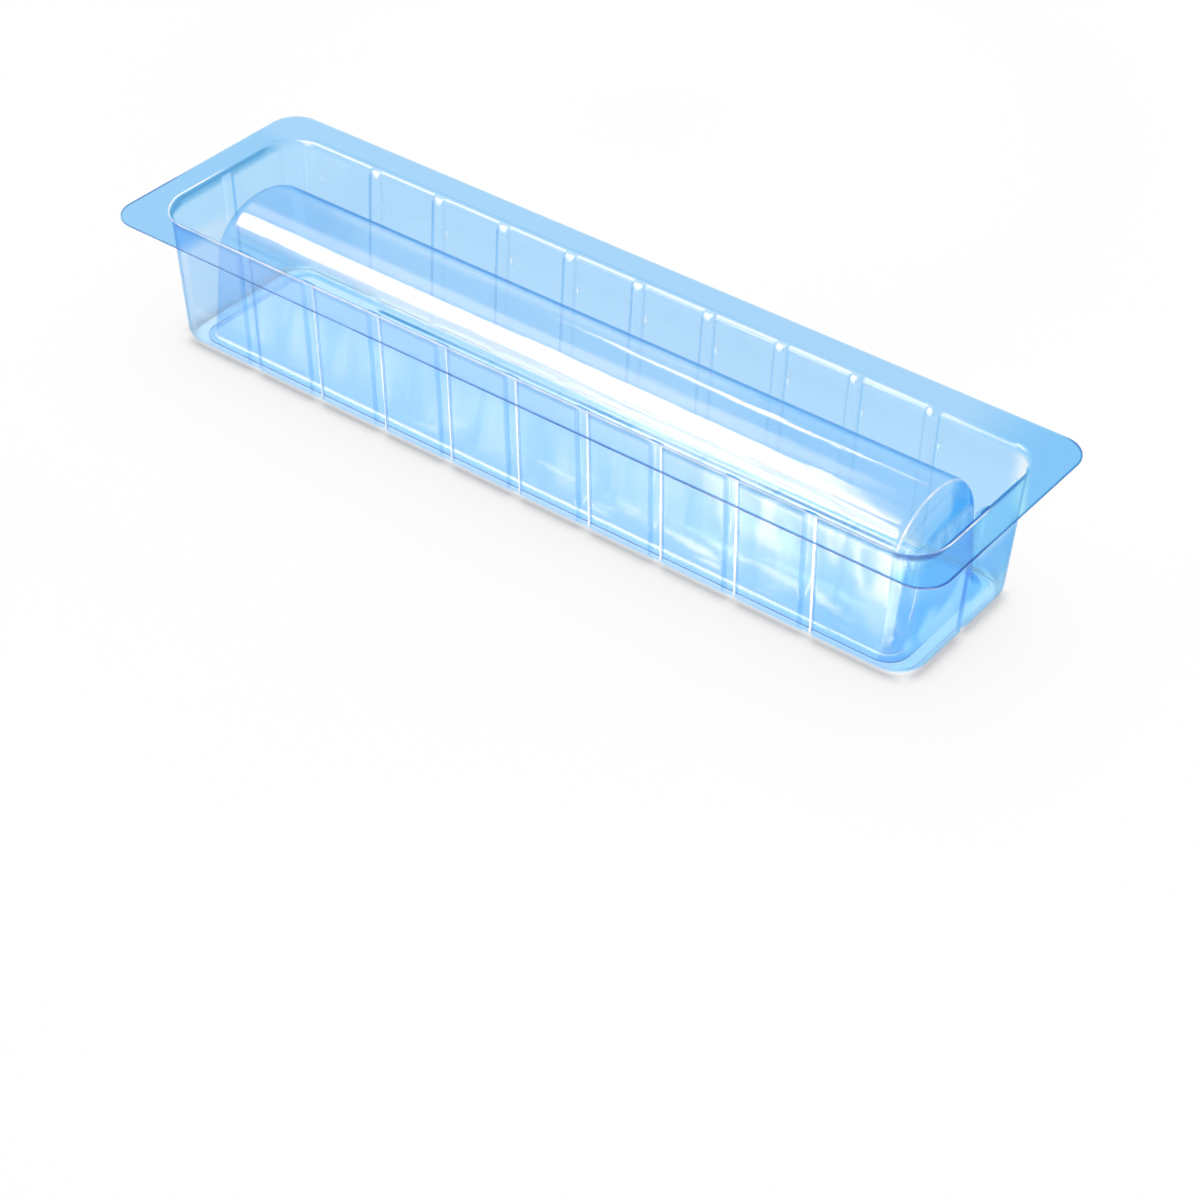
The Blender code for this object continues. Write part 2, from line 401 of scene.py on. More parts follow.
def add_lip(mesh_edit, foot):
    """Turns the foot of the wall out through a small fillet into a flat lip."""
    ring = [vert for vert, outward in foot]
    slope = LOG_SIDE_DRAFT
    places = []
    for step in range(1, LIP_STEPS + 1):
        turn = slope + (math.pi / 2 - slope) * step / LIP_STEPS
        out = LOG_FOOT_RADIUS * (math.cos(slope) - math.cos(turn))
        places.append((out, SHEET + LOG_FOOT_RADIUS * (1.0 - math.sin(turn))))
    flat = LOG_FOOT_RADIUS + LOG_LIP + wall_foot() * math.tan(slope)
    places.append((flat, SHEET))
    for out, height in places:
        outer = []
        for vert, outward in foot:
            place = vert.co.xy + outward * out
            outer.append(mesh_edit.verts.new((place.x, place.y, height)))
        bridge(mesh_edit, outer, ring)
        ring = outer


def new_material(name):
    """An empty node material: its nodes, its links and its output."""
    material = bpy.data.materials.new(name)
    material.use_nodes = True
    material.node_tree.nodes.clear()
    output = material.node_tree.nodes.new("ShaderNodeOutputMaterial")
    return material, material.node_tree.nodes, material.node_tree.links, output


def add_noise(nodes, links, place, stretch, scale, detail):
    """Noise in the object's own place, drawn out by stretch."""
    mapping = nodes.new("ShaderNodeMapping")
    mapping.inputs["Scale"].default_value = stretch
    links.new(place, mapping.inputs["Vector"])
    noise = nodes.new("ShaderNodeTexNoise")
    noise.inputs["Scale"].default_value = scale
    noise.inputs["Detail"].default_value = detail
    links.new(mapping.outputs["Vector"], noise.inputs["Vector"])
    return noise.outputs["Fac"]


def add_range(nodes, links, value, low, high):
    """Maps the middle of a noise's values to the range from low to high."""
    spread = nodes.new("ShaderNodeMapRange")
    spread.inputs["From Min"].default_value = 0.3
    spread.inputs["From Max"].default_value = 0.7
    spread.inputs["To Min"].default_value = low
    spread.inputs["To Max"].default_value = high
    links.new(value, spread.inputs["Value"])
    return spread.outputs["Result"]


def add_mix(nodes, links, share, first, second):
    """Mixes two colours, each a socket or a plain colour."""
    mix = nodes.new("ShaderNodeMix")
    mix.data_type = "RGBA"
    links.new(share, mix.inputs["Factor"])
    for socket, colour in ((mix.inputs[6], first), (mix.inputs[7], second)):
        if isinstance(colour, tuple):
            socket.default_value = colour
        else:
            links.new(colour, socket)
    return mix.outputs[2]


def add_math(nodes, links, operation, first, second, third=0.0):
    """One sum on two or three values, each a socket or a number."""
    node = nodes.new("ShaderNodeMath")
    node.operation = operation
    for socket, value in zip(node.inputs, (first, second, third)):
        if isinstance(value, (int, float)):
            socket.default_value = value
        else:
            links.new(value, socket)
    return node.outputs["Value"]


def add_step(nodes, links, value, start, end, low=0.0, high=1.0):
    """Goes smoothly from low to high while the value goes from start to end."""
    step = nodes.new("ShaderNodeMapRange")
    step.interpolation_type = "SMOOTHSTEP"
    step.inputs["From Min"].default_value = start
    step.inputs["From Max"].default_value = end
    step.inputs["To Min"].default_value = low
    step.inputs["To Max"].default_value = high
    links.new(value, step.inputs["Value"])
    return step.outputs["Result"]


def add_product(nodes, links, values):
    """The product of several values."""
    result = values[0]
    for value in values[1:]:
        result = add_math(nodes, links, "MULTIPLY", result, value)
    return result


def add_most(nodes, links, values):
    """The largest of several values."""
    result = values[0]
    for value in values[1:]:
        result = add_math(nodes, links, "MAXIMUM", result, value)
    return result


def add_outline(nodes, links, place, half_length, half_width, radius):
    """How far a place is outside a rounded rectangle seen from above; less than 0 inside it."""
    corner = []
    for value, half in ((place[0], half_length), (place[1], half_width)):
        away = add_math(nodes, links, "ABSOLUTE", value, 0.0)
        corner.append(add_math(nodes, links, "SUBTRACT", away, half - radius))
    outside = [add_math(nodes, links, "MAXIMUM", value, 0.0) for value in corner]
    squares = [add_math(nodes, links, "MULTIPLY", value, value) for value in outside]
    round_part = add_math(nodes, links, "SQRT", add_math(nodes, links, "ADD", squares[0], squares[1]), 0.0)
    inside = add_math(nodes, links, "MINIMUM", add_most(nodes, links, corner), 0.0)
    return add_math(nodes, links, "SUBTRACT", add_math(nodes, links, "ADD", round_part, inside), radius)


def add_mix_value(nodes, links, share, first, second):
    """Mixes two values."""
    mix = nodes.new("ShaderNodeMix")
    links.new(share, mix.inputs["Factor"])
    links.new(first, mix.inputs[2])
    links.new(second, mix.inputs[3])
    return mix.outputs[0]


def add_line(nodes, links, distance, centre, half_width):
    """1 along a line, falling softly to 0 at its sides."""
    off = add_math(nodes, links, "ABSOLUTE", add_math(nodes, links, "SUBTRACT", distance, centre), 0.0)
    return add_step(nodes, links, off, half_width * 1.4, half_width * 0.6)


def add_between(nodes, links, value, start, end, soft):
    """1 between two values, falling softly to 0 outside them."""
    return add_product(nodes, links, (
        add_step(nodes, links, value, start - soft, start),
        add_step(nodes, links, value, end + soft, end),
    ))


def add_wrap(nodes, links, value, pitch):
    """The place within a repeat, from minus half a pitch to half a pitch."""
    wrap = nodes.new("ShaderNodeMath")
    wrap.operation = "WRAP"
    links.new(value, wrap.inputs[0])
    wrap.inputs[1].default_value = pitch / 2
    wrap.inputs[2].default_value = -pitch / 2
    return wrap.outputs["Value"]


def add_mixed(nodes, links, share, first, second):
    """Mixes two shaders."""
    mix = nodes.new("ShaderNodeMixShader")
    links.new(share, mix.inputs["Fac"])
    links.new(first.outputs[0], mix.inputs[1])
    links.new(second.outputs[0], mix.inputs[2])
    return mix


def add_sum(nodes, links, first, second):
    """Adds two shaders."""
    add = nodes.new("ShaderNodeAddShader")
    links.new(first.outputs[0], add.inputs[0])
    links.new(second.outputs[0], add.inputs[1])
    return add


def tray_tint(nodes, links, place, noise):
    """The tray's tint: deep in the flange's back and ends, pale in the front, with thin blue lines and
    painted light.
    """
    x, y, z = place
    # the flange's tint by place is partly painted light: paler in the front, deeper towards the right end
    rightwards = add_step(nodes, links, x, -0.10, 0.27)
    ends = add_mix(nodes, links, rightwards, through(FLANGE_LEFT), through(FLANGE_RIGHT))
    slant = add_math(nodes, links, "MULTIPLY_ADD", x, 1.87, y)
    near_end = add_product(nodes, links, (
        add_step(nodes, links, x, 0.245, 0.262),
        add_step(nodes, links, slant, 0.555, 0.546),
    ))
    ends = add_mix(nodes, links, near_end, ends, through(FLANGE_NEAR_END))
    clearer = add_step(nodes, links, x, 0.06, 0.24)
    front = add_mix(nodes, links, clearer, through(FLANGE_FRONT), through(FLANGE_CLEAR))
    front = add_mix(nodes, links, add_between(nodes, links, x, -0.22, 0.258, 0.016), ends, front)
    right_corner = add_step(nodes, links, x, 0.21, 0.27)
    back = add_mix(nodes, links, right_corner, through(FLANGE_BACK), through(FLANGE_RIGHT))
    flange = add_mix(nodes, links, add_step(nodes, links, y, 0.045, 0.060), ends, back)
    flange = add_mix(nodes, links, add_step(nodes, links, y, -0.045, -0.060), flange, front)
    # painted reflection: pale patches high on the front wall's middle, broken up by noise
    pale = add_product(nodes, links, (
        add_step(nodes, links, x, -0.06, 0.16),
        add_step(nodes, links, z, 0.044, 0.070),
        add_range(nodes, links, noise, 0.6, 1.0),
    ))
    deep = add_product(nodes, links, (
        add_step(nodes, links, x, 0.15, 0.22),
        add_step(nodes, links, z, 0.042, 0.026),
    ))
    front_wall = add_mix(nodes, links, pale, through(FRONT_WALL), through(FRONT_PAINTED_REFLECTION))
    front_wall = add_mix(nodes, links, deep, front_wall, through(FRONT_DEEP))
    wall = add_mix(nodes, links, add_step(nodes, links, y, -0.045, 0.045), front_wall, through(BACK_WALL))
    left_high = add_product(nodes, links, (
        add_step(nodes, links, x, -0.250, -0.262),
        add_step(nodes, links, z, 0.056, 0.066),
    ))
    wall = add_mix(nodes, links, left_high, wall, through(LEFT_END_HIGH))
    end_deep = add_product(nodes, links, (
        add_step(nodes, links, y, -0.020, 0.004),
        add_between(nodes, links, z, 0.026, 0.046, 0.008),
    ))
    # painted light: the right end wall turns near white above this height
    high = add_step(nodes, links, z, 0.045, 0.062)
    right_end = add_mix(nodes, links, high, through(END_LOW), through(END_HIGH))
    right_end = add_mix(nodes, links, end_deep, right_end, through(END_DEEP))
    wall = add_mix(nodes, links, add_step(nodes, links, x, 0.252, 0.264), wall, right_end)
    wall = add_mix(nodes, links, add_step(nodes, links, z, 0.0030, 0.0015), wall, through(FLOOR_BLUE))
    height = add_step(nodes, links, z, TRAY_HEIGHT - DRAWN_BELOW, TRAY_HEIGHT - SHEET)
    tint = add_mix(nodes, links, height, wall, flange)
    outline = add_outline(nodes, links, place, TRAY_HALF_LENGTH, TRAY_HALF_WIDTH, TRAY_CORNER_RADIUS)
    rim = add_product(nodes, links, (
        add_line(nodes, links, outline, RIM_FLAT - 0.0028, 0.0012),
        add_step(nodes, links, z, TRAY_HEIGHT - 0.008, TRAY_HEIGHT - 0.004),
        add_step(nodes, links, y, 0.05, 0.03),
        add_step(nodes, links, x, -0.10, 0.25, 0.5, 1.0),
    ))
    tint = add_mix(nodes, links, rim, tint, through(LINE_BLUE))
    back_rim = add_product(nodes, links, (
        add_line(nodes, links, outline, RIM_FLAT + 0.0004, 0.0004),
        add_step(nodes, links, z, TRAY_HEIGHT - 0.004, TRAY_HEIGHT - 0.002),
        add_step(nodes, links, y, 0.030, 0.045),
        add_step(nodes, links, x, 0.10, 0.04, 0.2, 0.7),
    ))
    tint = add_mix(nodes, links, back_rim, tint, through(RIB_BLUE))
    # the colour that gathers at the sheet's cut edge also shows just inside it
    to_edge = add_outline(nodes, links, place, FLANGE_HALF_LENGTH, FLANGE_HALF_WIDTH, FLANGE_CORNER_RADIUS)
    edge_line = add_product(nodes, links, (
        add_step(nodes, links, to_edge, -0.0013, -0.0007),
        add_most(nodes, links, (
            add_step(nodes, links, y, 0.0, -0.04),
            add_step(nodes, links, x, 0.268, 0.280, 0.0, 0.6),
        )),
        add_step(nodes, links, x, -0.20, 0.20, 0.15, 0.9),
    ))
    tint = add_mix(nodes, links, edge_line, tint, through(LINE_BLUE))
    # thin blue lines up the ribs' flanks
    beside = add_wrap(nodes, links, x, RIB_PITCH)
    front_lines = add_most(nodes, links, (
        add_line(nodes, links, beside, 0.0032, 0.0005),
        add_math(nodes, links, "MULTIPLY", add_line(nodes, links, beside, -0.0048, 0.0006), 0.5),
    ))
    back_lines = add_product(nodes, links, (
        add_most(nodes, links, (
            add_line(nodes, links, beside, -0.0040, 0.0005),
            add_math(nodes, links, "MULTIPLY", add_line(nodes, links, beside, 0.0048, 0.0005), 0.4),
        )),
        add_step(nodes, links, x, -0.18, 0.20, 0.15, 0.9),
    ))
    ribs = add_product(nodes, links, (
        add_mix_value(nodes, links, add_step(nodes, links, y, 0.02, 0.03), front_lines, back_lines),
        add_between(nodes, links, z, 0.006, TRAY_HEIGHT - 0.004, 0.002),
        add_step(nodes, links, add_math(nodes, links, "ABSOLUTE", x, 0.0), 0.245, 0.235),
    ))
    return add_mix(nodes, links, ribs, tint, through(RIB_BLUE))


def tray_painted_highlights(nodes, links, place, noise):
    """Painted highlights on the tray: white lines on the ribs, where the floor turns up and along the front
    rim, and glints on the back wall.
    """
    x, y, z = place
    broken = add_range(nodes, links, noise, 0.55, 1.0)
    beside = add_wrap(nodes, links, x, RIB_PITCH)
    rib = add_product(nodes, links, (
        add_line(nodes, links, beside, 0.0017, 0.0007),
        add_step(nodes, links, y, -0.045, -0.050),
        add_between(nodes, links, z, 0.004, TRAY_HEIGHT - 0.006, 0.003),
        add_step(nodes, links, x, -0.19, -0.15, 0.1, 1.0),
        add_step(nodes, links, x, 0.245, 0.235),
        add_range(nodes, links, noise, 0.3, 0.85),
    ))
    # a small glint on the back wall beside each rib's foot
    glint = add_product(nodes, links, (
        add_line(nodes, links, beside, 0.0066, 0.0009),
        add_between(nodes, links, z, 0.0655, 0.0675, 0.0025),
        add_step(nodes, links, y, 0.045, 0.050),
        add_step(nodes, links, x, -0.18, -0.12, 0.3, 0.9),
    ))
    outline = add_outline(nodes, links, place, TRAY_HALF_LENGTH, TRAY_HALF_WIDTH, TRAY_CORNER_RADIUS)
    foot = add_product(nodes, links, (
        add_line(nodes, links, outline, -TRAY_REACH + 0.0010, 0.0005),
        add_step(nodes, links, z, 0.0040, 0.0030),
        add_step(nodes, links, y, -0.048, -0.040),
        broken,
    ))
    rim = add_product(nodes, links, (
        add_line(nodes, links, outline, RIM_FLAT - 0.0008, 0.0004),
        add_step(nodes, links, z, TRAY_HEIGHT - 0.006, TRAY_HEIGHT - 0.003),
        add_step(nodes, links, y, 0.01, -0.02),
        broken,
    ))
    return add_most(nodes, links, (rib, glint, foot, rim))


def log_tint(nodes, links, place, noise):
    """The log mould's tint: paler with painted light on its shoulders and in panels low down, deeper at its
    right end.
    """
    x, y, z = place
    # painted reflections and light: pale panels low down in step with the tray's ribs, a paler front
    # shoulder and paler patches at the back
    mirrored_panels = add_product(nodes, links, (
        add_between(nodes, links, add_wrap(nodes, links, add_math(nodes, links, "ADD", x, RIB_PITCH * 0.35),
                                           RIB_PITCH), -0.012, 0.012, 0.003),
        add_between(nodes, links, z, 0.016, 0.044, 0.006),
        add_step(nodes, links, y, -0.030, -0.036),
        add_range(nodes, links, noise, 0.1, 0.5),
    ))
    shoulder = add_product(nodes, links, (
        add_step(nodes, links, x, -0.02, 0.14, 0.25, 0.9),
        add_step(nodes, links, z, 0.055, 0.063),
        add_step(nodes, links, y, -0.022, -0.028),
    ))
    back = add_product(nodes, links, (
        add_between(nodes, links, x, -0.17, 0.07, 0.06),
        add_step(nodes, links, y, 0.002, 0.012),
        add_range(nodes, links, noise, 0.7, 1.0),
    ))
    paler = add_most(nodes, links, (mirrored_panels, shoulder, back))
    side = add_product(nodes, links, (
        add_step(nodes, links, y, -0.030, -0.036),
        add_step(nodes, links, z, 0.056, 0.050),
    ))
    tint = add_mix(nodes, links, side, through(LOG_BLUE), through(LOG_SIDE))
    tint = add_mix(nodes, links, paler, tint, through(LOG_PAINTED_LIGHT))
    # the right end is deeper in patches
    patches = add_product(nodes, links, (
        add_step(nodes, links, x, 0.240, 0.244),
        add_step(nodes, links, noise, 0.42, 0.48),
    ))
    tint = add_mix(nodes, links, patches, tint, through(LOG_END))
    # painted reflection: a thin dark blue line along the front shoulder, which ends where the mould turns
    # to its left end
    painted_dark_reflection = add_product(nodes, links, (
        add_between(nodes, links, z, 0.0680, 0.0688, 0.0004),
        add_step(nodes, links, y, -0.020, -0.026),
        add_between(nodes, links, x, -0.115, 0.236, 0.006),
        add_range(nodes, links, noise, 0.4, 1.0),
    ))
    return add_mix(nodes, links, painted_dark_reflection, tint, through(LINE_BLUE))


def log_painted_highlights(nodes, links, place, noise):
    """Painted highlights on the log mould: white lines on its foot fillet, up its right front corner and
    where its arch turns into the right end.
    """
    x, y, z = place
    broken = add_range(nodes, links, noise, 0.75, 1.0)
    foot = add_product(nodes, links, (
        add_between(nodes, links, z, LOG_STAND + 0.0014, LOG_STAND + 0.0022, 0.0003),
        add_step(nodes, links, y, -0.030, -0.040),
        broken,
    ))
    corner = add_product(nodes, links, (
        add_between(nodes, links, x, 0.2425, 0.2460, 0.0015),
        add_between(nodes, links, z, 0.012, 0.058, 0.010),
        add_step(nodes, links, y, -0.025, -0.034),
        add_range(nodes, links, noise, 0.5, 1.0),
    ))
    # painted highlights where the arch turns over into the right end, and where it has turned down
    turn = add_product(nodes, links, (
        add_most(nodes, links, (
            add_line(nodes, links, x, 0.2412, 0.0005),
            add_line(nodes, links, x, 0.2484, 0.0004),
        )),
        add_step(nodes, links, z, 0.040, 0.055),
        add_range(nodes, links, noise, 0.2, 0.7),
    ))
    return add_most(nodes, links, (foot, corner, turn))


def edge_plastic():
    """The sheet's cut edge, where its colour gathers, most of all along the front and the right end."""
    material, nodes, links, output = new_material("cut_edge_blue")
    place = nodes.new("ShaderNodeTexCoord").outputs["Object"]
    nicks = add_noise(nodes, links, place, (1.0, 1.0, 1.0), 60.0, 2.0)
    split = nodes.new("ShaderNodeSeparateXYZ")
    links.new(place, split.inputs["Vector"])
    near = add_most(nodes, links, (
        add_step(nodes, links, split.outputs["Y"], 0.0, -0.04),
        add_step(nodes, links, split.outputs["X"], 0.268, 0.280),
    ))
    deep = add_mix(nodes, links, add_range(nodes, links, nicks, 0.0, 0.7), LINE_BLUE, EDGE_BLUE)
    clear = nodes.new("ShaderNodeBsdfTransparent")
    links.new(add_mix(nodes, links, near, EDGE_PALE, deep), clear.inputs["Color"])
    gloss = nodes.new("ShaderNodeBsdfGlossy")
    gloss.inputs["Color"].default_value = (1.0, 1.0, 1.0, 1.0)
    gloss.inputs["Roughness"].default_value = 0.3
    share = add_range(nodes, links, nicks, GLOSS, 2.0 * GLOSS)
    links.new(add_mixed(nodes, links, share, clear, gloss).outputs[0], output.inputs["Surface"])
    return material


def through(tint):
    """What one of a sheet's two surfaces lets through, from what the whole sheet lets through."""
    return tuple(math.sqrt(part) for part in tint)


def clear_plastic(name, tint_of, painted_highlights_of, ripple_left, ripple_right, foot_shade):
    """Clear formed sheet: deeper where it is seen along, with painted highlights as white lines along its
    bends.
    """
    material, nodes, links, output = new_material(name)
    place = nodes.new("ShaderNodeTexCoord").outputs["Object"]
    cloud = add_noise(nodes, links, place, (1.0, 2.0, 2.0), 9.0, 2.0)
    streak = add_noise(nodes, links, place, (0.25, 2.0, 1.0), 34.0, 3.0)
    fine = add_noise(nodes, links, place, (1.0, 1.0, 0.4), 90.0, 2.0)
    split = nodes.new("ShaderNodeSeparateXYZ")
    links.new(place, split.inputs["Vector"])
    axes = (split.outputs["X"], split.outputs["Y"], split.outputs["Z"])
    weight = nodes.new("ShaderNodeLayerWeight")
    weight.inputs["Blend"].default_value = 0.5
    facing = weight.outputs["Facing"]
    tint = tint_of(nodes, links, axes, cloud)
    seen_along = add_step(nodes, links, facing, DEEP_FROM, DEEP_FULL)
    colour = add_mix(nodes, links, seen_along, tint, through(DEEP_BLUE))
    clear = nodes.new("ShaderNodeBsdfTransparent")
    links.new(colour, clear.inputs["Color"])
    bump = nodes.new("ShaderNodeBump")
    bump.inputs["Distance"].default_value = RIPPLE_DEPTH
    ripple = add_step(nodes, links, axes[0], -0.15, 0.20, ripple_left, ripple_right)
    links.new(ripple, bump.inputs["Strength"])
    links.new(streak, bump.inputs["Height"])
    gloss = nodes.new("ShaderNodeBsdfGlossy")
    gloss.inputs["Color"].default_value = (1.0, 1.0, 1.0, 1.0)
    links.new(add_range(nodes, links, streak, 0.05, 0.12), gloss.inputs["Roughness"])
    links.new(bump.outputs["Normal"], gloss.inputs["Normal"])
    grazing = add_math(nodes, links, "POWER", facing, 6.0)
    mirror = add_math(nodes, links, "MULTIPLY_ADD", grazing, GRAZING_GLOSS, GLOSS)
    sheet = add_mixed(nodes, links, mirror, clear, gloss)
    # painted highlights: a white gloss laid over the sheet along lines set by place
    white = nodes.new("ShaderNodeBsdfGlossy")
    white.inputs["Color"].default_value = (0.97, 0.98, 0.99, 1.0)
    white.inputs["Roughness"].default_value = 0.5
    highlighted = add_mixed(nodes, links, painted_highlights_of(nodes, links, axes, fine), sheet, white)
    # light on its way to a surface passes evenly, a little less of it at the tray's foot fillet
    light_path = nodes.new("ShaderNodeLightPath")
    kinds = ("Is Shadow Ray", "Is Diffuse Ray")
    onward = add_most(nodes, links, [light_path.outputs[kind] for kind in kinds])
    passing = nodes.new("ShaderNodeBsdfTransparent")
    if foot_shade:
        outline = add_outline(nodes, links, axes, TRAY_HALF_LENGTH, TRAY_HALF_WIDTH, TRAY_CORNER_RADIUS)
        low_down = add_product(nodes, links, (
            add_step(nodes, links, axes[2], 0.010, 0.003),
            add_step(nodes, links, outline, -0.006, -0.002),
        ))
        links.new(add_mix(nodes, links, low_down, PASSING, PASSING_FOOT), passing.inputs["Color"])
    else:
        passing.inputs["Color"].default_value = PASSING
    mix = add_mixed(nodes, links, onward, highlighted, passing)
    links.new(mix.outputs[0], output.inputs["Surface"])
    return material


def add_seen(nodes, links):
    """1 for what the camera sees directly, mirrored or through the plastic, and 0 for what lights it."""
    light_path = nodes.new("ShaderNodeLightPath")
    seen = [light_path.outputs[name] for name in ("Is Camera Ray", "Is Transmission Ray", "Is Glossy Ray")]
    return add_most(nodes, links, seen)


def key_light_at(away):
    """How strongly the key light lights the table, away from the point below its middle."""
    steps = 12
    total = 0.0
    for column in range(steps):
        for row in range(steps):
            x = KEY_SIZE * ((column + 0.5) / steps - 0.5)
            y = KEY_SIZE * ((row + 0.5) / steps - 0.5)
            square = (x - away) ** 2 + y ** 2 + KEY_PLACE.z ** 2
            total += KEY_RADIANCE * (KEY_SIZE / steps) ** 2 * KEY_PLACE.z ** 2 / square ** 2
    return total


def mirrored_streaks(nodes, links, split):
    """Light patches that only the mould's gloss shows, as from white cards laid before it."""
    x, y = split.outputs["X"], split.outputs["Y"]
    mirrored = nodes.new("ShaderNodeLightPath").outputs["Glossy Depth"]
    mirrored = add_math(nodes, links, "MINIMUM", mirrored, 1.0)
    # the place on the front wall that mirrors this place on the table to the main view
    up = add_math(nodes, links, "MULTIPLY", add_math(nodes, links, "ADD", y, TRAY_HALF_WIDTH), -1.0)
    along = add_math(nodes, links, "ADD", x, add_math(nodes, links, "MULTIPLY", up, MIRROR_SHIFT))
    wall = nodes.new("ShaderNodeCombineXYZ")
    links.new(along, wall.inputs["X"])
    links.new(up, wall.inputs["Y"])
    tall = add_noise(nodes, links, wall.outputs["Vector"], (46.0, 9.0, 1.0), 1.0, 3.0)
    flat = add_noise(nodes, links, wall.outputs["Vector"], (26.0, 170.0, 1.0), 1.0, 2.0)
    panels = add_product(nodes, links, (
        add_step(nodes, links, tall, 0.46, 0.60),
        add_between(nodes, links, up, 0.030, 0.060, 0.015),
        0.35,
    ))
    flames = add_product(nodes, links, (
        add_step(nodes, links, tall, 0.47, 0.55),
        add_step(nodes, links, up, 0.040, 0.056),
        add_step(nodes, links, along, 0.11, 0.17),
        1.6,
    ))
    dashes = add_product(nodes, links, (
        add_step(nodes, links, flat, 0.55, 0.63),
        add_between(nodes, links, up, 0.020, 0.034, 0.005),
        add_step(nodes, links, along, -0.15, 0.08, 0.3, 1.6),
    ))
    return add_product(nodes, links, (
        mirrored,
        add_math(nodes, links, "ADD", add_most(nodes, links, (panels, flames, dashes)), MIRRORED_HAZE),
        add_step(nodes, links, up, -0.005, 0.005),
        MIRRORED_GLOW,
    ))


def white_table():
    """A white table top that stays white to the camera and through the plastic, and takes shadows."""
    material, nodes, links, output = new_material("table_white")
    place = nodes.new("ShaderNodeTexCoord").outputs["Object"]
    grain = add_noise(nodes, links, place, (1.0, 1.0, 1.0), 3.0, 2.0)
    white = (TABLE_WHITE, TABLE_WHITE, TABLE_WHITE, 1.0)
    off_white = (TABLE_WHITE - 0.01, TABLE_WHITE - 0.01, TABLE_WHITE - 0.01, 1.0)
    shader = nodes.new("ShaderNodeBsdfDiffuse")
    links.new(add_mix(nodes, links, grain, white, off_white), shader.inputs["Color"])
    # the table's own white makes up for the key light's falling off
    away = nodes.new("ShaderNodeVectorMath")
    away.operation = "DISTANCE"
    links.new(place, away.inputs[0])
    away.inputs[1].default_value = (KEY_PLACE.x, KEY_PLACE.y, 0.0)
    glow = nodes.new("ShaderNodeValToRGB")
    ramp = glow.color_ramp
    ramp.interpolation = "LINEAR"
    reach = 4.0
    stops = (0.0, 0.3, 0.6, 0.9, 1.2, 1.6, 2.0, 2.6, 3.2, 4.0)
    while len(ramp.elements) < len(stops):
        ramp.elements.new(0.5)
    for element, stop in zip(ramp.elements, stops):
        lit = TABLE_WHITE * (key_light_at(stop) / math.pi + WORLD_LIGHT)
        element.position = stop / reach
        element.color = (TABLE_SEEN - lit, TABLE_SEEN - lit, TABLE_SEEN - lit, 1.0)
    links.new(add_math(nodes, links, "DIVIDE", away.outputs["Value"], reach), glow.inputs["Fac"])
    # under the mould the table is shown whiter, because the sheets above keep light from it
    split = nodes.new("ShaderNodeSeparateXYZ")
    links.new(place, split.inputs["Vector"])
    across_x = add_math(nodes, links, "ABSOLUTE", split.outputs["X"], 0.0)
    across_y = add_math(nodes, links, "ABSOLUTE", split.outputs["Y"], 0.0)
    inside = add_product(nodes, links, (
        add_step(nodes, links, across_x, TRAY_HALF_LENGTH, TRAY_HALF_LENGTH - 0.007),
        add_step(nodes, links, across_y, TRAY_HALF_WIDTH, TRAY_HALF_WIDTH - 0.007),
        UNDER_GLOW,
    ))
    strength = add_math(nodes, links, "ADD", glow.outputs["Color"], inside)
    white_glow = nodes.new("ShaderNodeEmission")
    strength = add_math(nodes, links, "MULTIPLY", strength, add_seen(nodes, links))
    links.new(strength, white_glow.inputs["Strength"])
    cards = nodes.new("ShaderNodeEmission")
    cards.inputs["Color"].default_value = GLOSS_LIGHT + (1.0,)
    links.new(mirrored_streaks(nodes, links, split), cards.inputs["Strength"])
    lit = add_sum(nodes, links, white_glow, cards)
    links.new(add_sum(nodes, links, shader, lit).outputs["Shader"], output.inputs["Surface"])
    return material


def build_table(material):
    """A large round table top that the mould stands on."""
    mesh_edit = bmesh.new()
    bmesh.ops.create_circle(mesh_edit, cap_ends=True, segments=96, radius=TABLE_RADIUS)
    mesh = bpy.data.meshes.new("table")
    mesh_edit.to_mesh(mesh)
    mesh_edit.free()
    mesh.materials.append(material)
    table = bpy.data.objects.new("table", mesh)
    bpy.context.scene.collection.objects.link(table)
    table.location.z = tray_low.z - TABLE_GAP


def add_softbox(name, centre, size, radiance, on_surfaces, in_gloss):
    """A soft rectangular lamp, level until it is turned, that lights surfaces, shows in gloss, or both."""
    lamp = bpy.data.lights.new(name, "AREA")
    lamp.shape = "RECTANGLE"
    lamp.size = size[0]
    lamp.size_y = size[1]
    # a lamp's power is its radiance over its area and the half space
    lamp.energy = radiance * math.pi * size[0] * size[1]
    holder = bpy.data.objects.new(name, lamp)
    bpy.context.scene.collection.objects.link(holder)
    holder.location = centre
    holder.visible_camera = False
    holder.visible_diffuse = on_surfaces
    holder.visible_glossy = in_gloss
    holder.visible_transmission = in_gloss
    return holder


def gloss_lamp(name, centre, size, radiance, turn):
    """A lamp that only gloss shows, turned by angles about X and Z, with the places on it from 0 to 1."""
    holder = add_softbox(name, centre, size, radiance, False, True)
    holder.rotation_euler = (turn[0], 0.0, turn[1])
    lamp = holder.data
    lamp.color = GLOSS_LIGHT
    lamp.use_nodes = True
    nodes = lamp.node_tree.nodes
    links = lamp.node_tree.links
    place = nodes.new("ShaderNodeNewGeometry").outputs["Parametric"]
    split = nodes.new("ShaderNodeSeparateXYZ")
    links.new(place, split.inputs["Vector"])
    return GlossLamp(holder, nodes, links, place, split.outputs["X"], split.outputs["Y"])


